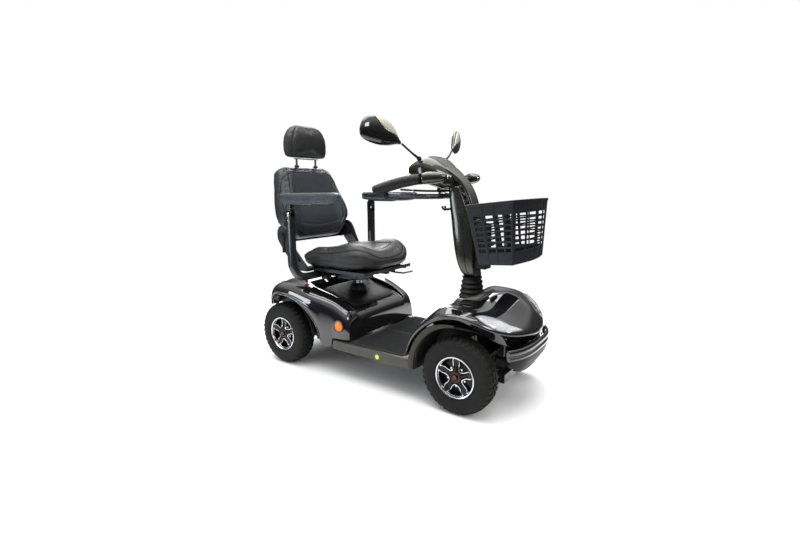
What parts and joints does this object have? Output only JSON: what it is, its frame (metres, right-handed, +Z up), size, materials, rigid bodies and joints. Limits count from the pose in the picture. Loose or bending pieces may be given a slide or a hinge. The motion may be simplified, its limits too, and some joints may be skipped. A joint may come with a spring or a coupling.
{
  "type": "mobility scooter",
  "caption": "Mobility scooter with a reclining captain seat on a turntable, fold-up arms, headrest, steered front wheels, tilting tiller with looped handlebars, mirrors and a front basket.",
  "frame": {"origin": "on the ground under the middle of the bounding box", "axes": "+Z up, -Y towards the front and the basket, +X towards the rider's left; +Y is the scooter's length"},
  "size_m": [0.838, 1.48, 1.295],
  "materials": {
    "gloss_black": "high gloss black",
    "olive_black": "gloss olive black",
    "grey_trim": "satin grey olive",
    "matte_black": "fine grained matte black",
    "mat_rubber": "matte rubber",
    "black_steel": "satin black powder coat",
    "vinyl_blue": "blue-black upholstery vinyl",
    "vinyl_grey": "charcoal upholstery vinyl",
    "tyre": "moulded black rubber",
    "rim_silver": "machined and painted alloy",
    "grip_foam": "soft grip rubber",
    "clear_lens": "clear lens",
    "orange_lens": "orange reflector lens",
    "red_plastic": "gloss red plastic",
    "battery_case": "grained battery case",
    "drive_metal": "cast and machined metal",
    "chrome": "polished chrome",
    "basket_plastic": "dark grey moulded plastic"
  },
  "bodies": {
    "chassis": {"chassis_frame": "black_steel", "transaxle": "drive_metal", "battery_pack": "battery_case", "floor_pan": "grey_trim", "floor_mat": "mat_rubber", "hood": "gloss_black", "headlight_right": "clear_lens", "headlight_left": "clear_lens", "front_bumper": "gloss_black", "tiller_boot": "matte_black", "rear_cover": "gloss_black", "seat_well_panel": "matte_black", "rear_bumper": "matte_black", "side_reflector_right": "orange_lens", "side_reflector_left": "orange_lens"},
    "freewheel_lever": {"freewheel_lever": "red_plastic"},
    "front_knuckle_right": {"front_knuckle_right": "black_steel"},
    "front_knuckle_left": {"front_knuckle_left": "black_steel"},
    "tie_rod": {"tie_rod": "drive_metal"},
    "front_wheel_right": {"front_tyre_right": "tyre", "front_rim_right": "rim_silver"},
    "front_wheel_left": {"front_tyre_left": "tyre", "front_rim_left": "rim_silver"},
    "rear_wheel_right": {"rear_tyre_right": "tyre", "rear_rim_right": "rim_silver"},
    "rear_wheel_left": {"rear_tyre_left": "tyre", "rear_rim_left": "rim_silver"},
    "seat_post": {"seat_post": "black_steel"},
    "seat_swivel": {"seat_turntable": "black_steel"},
    "seat_slide": {"seat_frame": "black_steel", "recline_cover_right": "matte_black", "recline_cover_left": "matte_black", "seat_cushion": "vinyl_grey"},
    "swivel_lever": {"swivel_lever": "black_steel"},
    "slide_lever": {"slide_lever": "black_steel"},
    "recline_lever": {"recline_lever": "matte_black"},
    "backrest": {"backrest_frame": "black_steel", "backrest_cushion": "vinyl_blue"},
    "headrest": {"headrest_rods": "chrome", "headrest_cushion": "vinyl_grey"},
    "arm_post_right": {"arm_post_right": "black_steel"},
    "arm_post_left": {"arm_post_left": "black_steel"},
    "armrest_right": {"arm_pad_right": "vinyl_blue"},
    "armrest_left": {"arm_pad_left": "vinyl_blue"},
    "steering_stem": {"steering_stem": "black_steel"},
    "tiller": {"tiller_column": "olive_black", "console": "olive_black", "handlebar": "black_steel", "grip_right": "grip_foam", "grip_left": "grip_foam", "mirror_stem_right": "black_steel", "mirror_stem_left": "black_steel"},
    "tiller_lever": {"tiller_lever": "matte_black"},
    "throttle_lever": {"throttle_lever": "matte_black"},
    "speed_dial": {"speed_dial": "drive_metal"},
    "horn_button": {"horn_button": "red_plastic"},
    "key": {"key": "chrome"},
    "mirror_right": {"mirror_head_right": "gloss_black"},
    "mirror_left": {"mirror_head_left": "gloss_black"},
    "basket": {"basket": "basket_plastic"}
  },
  "joints": [
    {"name": "steer", "type": "hinge", "parent": "chassis", "child": "steering_stem", "pos_m": [0, -0.4025, 0.4], "axis": [0, 0, 1], "range_deg": [-25, 25]},
    {"name": "knuckle_right", "type": "hinge", "parent": "chassis", "child": "front_knuckle_right", "pos_m": [-0.19, -0.4825, 0.165], "axis": [0, 0, 1], "range_deg": [-25, 25]},
    {"name": "knuckle_left", "type": "hinge", "parent": "chassis", "child": "front_knuckle_left", "pos_m": [0.19, -0.4825, 0.165], "axis": [0, 0, 1], "range_deg": [-25, 25]},
    {"name": "tie_rod_shift", "type": "slide", "parent": "chassis", "child": "tie_rod", "axis": [1, 0, 0], "range_m": [-0.0285, 0.0285]},
    {"name": "front_wheel_right_spin", "type": "hinge", "parent": "front_knuckle_right", "child": "front_wheel_right", "pos_m": [-0.263, -0.4825, 0.165], "axis": [1, 0, 0], "continuous": true},
    {"name": "front_wheel_left_spin", "type": "hinge", "parent": "front_knuckle_left", "child": "front_wheel_left", "pos_m": [0.263, -0.4825, 0.165], "axis": [1, 0, 0], "continuous": true},
    {"name": "rear_wheel_right_spin", "type": "hinge", "parent": "chassis", "child": "rear_wheel_right", "pos_m": [-0.273, 0.5625, 0.165], "axis": [1, 0, 0], "continuous": true},
    {"name": "rear_wheel_left_spin", "type": "hinge", "parent": "chassis", "child": "rear_wheel_left", "pos_m": [0.273, 0.5625, 0.165], "axis": [1, 0, 0], "continuous": true},
    {"name": "freewheel_lever_tilt", "type": "hinge", "parent": "chassis", "child": "freewheel_lever", "pos_m": [-0.225, 0.4575, 0.4425], "axis": [-1, 0, 0], "range_deg": [0, 35]},
    {"name": "seat_height", "type": "slide", "parent": "chassis", "child": "seat_post", "axis": [0, 0, 1], "range_m": [0, 0.06]},
    {"name": "seat_turn", "type": "hinge", "parent": "seat_post", "child": "seat_swivel", "pos_m": [0, 0.2925, 0.4543], "axis": [0, 0, 1], "range_deg": [-90, 90]},
    {"name": "seat_fore_aft", "type": "slide", "parent": "seat_swivel", "child": "seat_slide", "axis": [0, -1, 0], "range_m": [-0.06, 0.04]},
    {"name": "swivel_lever_lift", "type": "hinge", "parent": "seat_slide", "child": "swivel_lever", "pos_m": [0.15, 0.2175, 0.496], "axis": [0, -1, 0], "range_deg": [0, 8], "stiffness_Nm_per_rad": 1},
    {"name": "slide_lever_lift", "type": "hinge", "parent": "seat_slide", "child": "slide_lever", "pos_m": [0.06, 0.1175, 0.497], "axis": [-1, 0, 0], "range_deg": [0, 8], "stiffness_Nm_per_rad": 1},
    {"name": "recline_lever_pull", "type": "hinge", "parent": "seat_slide", "child": "recline_lever", "pos_m": [-0.2636, 0.5925, 0.69], "axis": [-1, 0, 0], "range_deg": [0, 20], "stiffness_Nm_per_rad": 0.5},
    {"name": "backrest_recline", "type": "hinge", "parent": "seat_slide", "child": "backrest", "pos_m": [0, 0.5925, 0.69], "axis": [1, 0, 0], "range_deg": [-18, 72]},
    {"name": "headrest_height", "type": "slide", "parent": "backrest", "child": "headrest", "axis": [0, 0, 1], "range_m": [-0.03, 0.04]},
    {"name": "arm_width_right", "type": "slide", "parent": "seat_slide", "child": "arm_post_right", "axis": [-1, 0, 0], "range_m": [0, 0.03]},
    {"name": "arm_width_left", "type": "slide", "parent": "seat_slide", "child": "arm_post_left", "axis": [1, 0, 0], "range_m": [0, 0.03]},
    {"name": "arm_flip_right", "type": "hinge", "parent": "arm_post_right", "child": "armrest_right", "pos_m": [-0.322, 0.4505, 0.84], "axis": [1, 0, 0], "range_deg": [-95, 0]},
    {"name": "arm_flip_left", "type": "hinge", "parent": "arm_post_left", "child": "armrest_left", "pos_m": [0.322, 0.4505, 0.84], "axis": [1, 0, 0], "range_deg": [-95, 0]},
    {"name": "tiller_rake", "type": "hinge", "parent": "steering_stem", "child": "tiller", "pos_m": [0, -0.4025, 0.48], "axis": [1, 0, 0], "range_deg": [-6, 18]},
    {"name": "tiller_lever_pull", "type": "hinge", "parent": "tiller", "child": "tiller_lever", "pos_m": [0.0515, -0.3705, 0.6], "axis": [1, 0, 0], "range_deg": [0, 30]},
    {"name": "throttle", "type": "hinge", "parent": "tiller", "child": "throttle_lever", "pos_m": [0, -0.3325, 0.9235], "axis": [0, 0, 1], "range_deg": [-8, 8], "stiffness_Nm_per_rad": 1},
    {"name": "speed_dial_turn", "type": "hinge", "parent": "tiller", "child": "speed_dial", "pos_m": [0, -0.1059, 1.02], "axis": [0, 1, 0], "range_deg": [0, 270]},
    {"name": "horn_press", "type": "slide", "parent": "tiller", "child": "horn_button", "axis": [0, -1, 0], "range_m": [0, 0.003], "stiffness_N_per_m": 300},
    {"name": "key_turn", "type": "hinge", "parent": "tiller", "child": "key", "pos_m": [-0.055, -0.1059, 1.02], "axis": [0, 1, 0], "range_deg": [0, 90]},
    {"name": "mirror_right_swing", "type": "hinge", "parent": "tiller", "child": "mirror_right", "pos_m": [-0.222, -0.1645, 1.124], "axis": [0, 0, 1], "range_deg": [-30, 30]},
    {"name": "mirror_left_swing", "type": "hinge", "parent": "tiller", "child": "mirror_left", "pos_m": [0.222, -0.1645, 1.124], "axis": [0, 0, -1], "range_deg": [-30, 30]},
    {"name": "basket_lift", "type": "slide", "parent": "tiller", "child": "basket", "axis": [0, 0, 1], "range_m": [0, 0.05]}
  ],
  "couplings": [
    {"joint": "knuckle_right", "follows": "steer", "ratio": 1},
    {"joint": "knuckle_left", "follows": "steer", "ratio": 1},
    {"joint": "tie_rod_shift", "follows": "steer", "m_per_rad": -0.065}
  ]
}
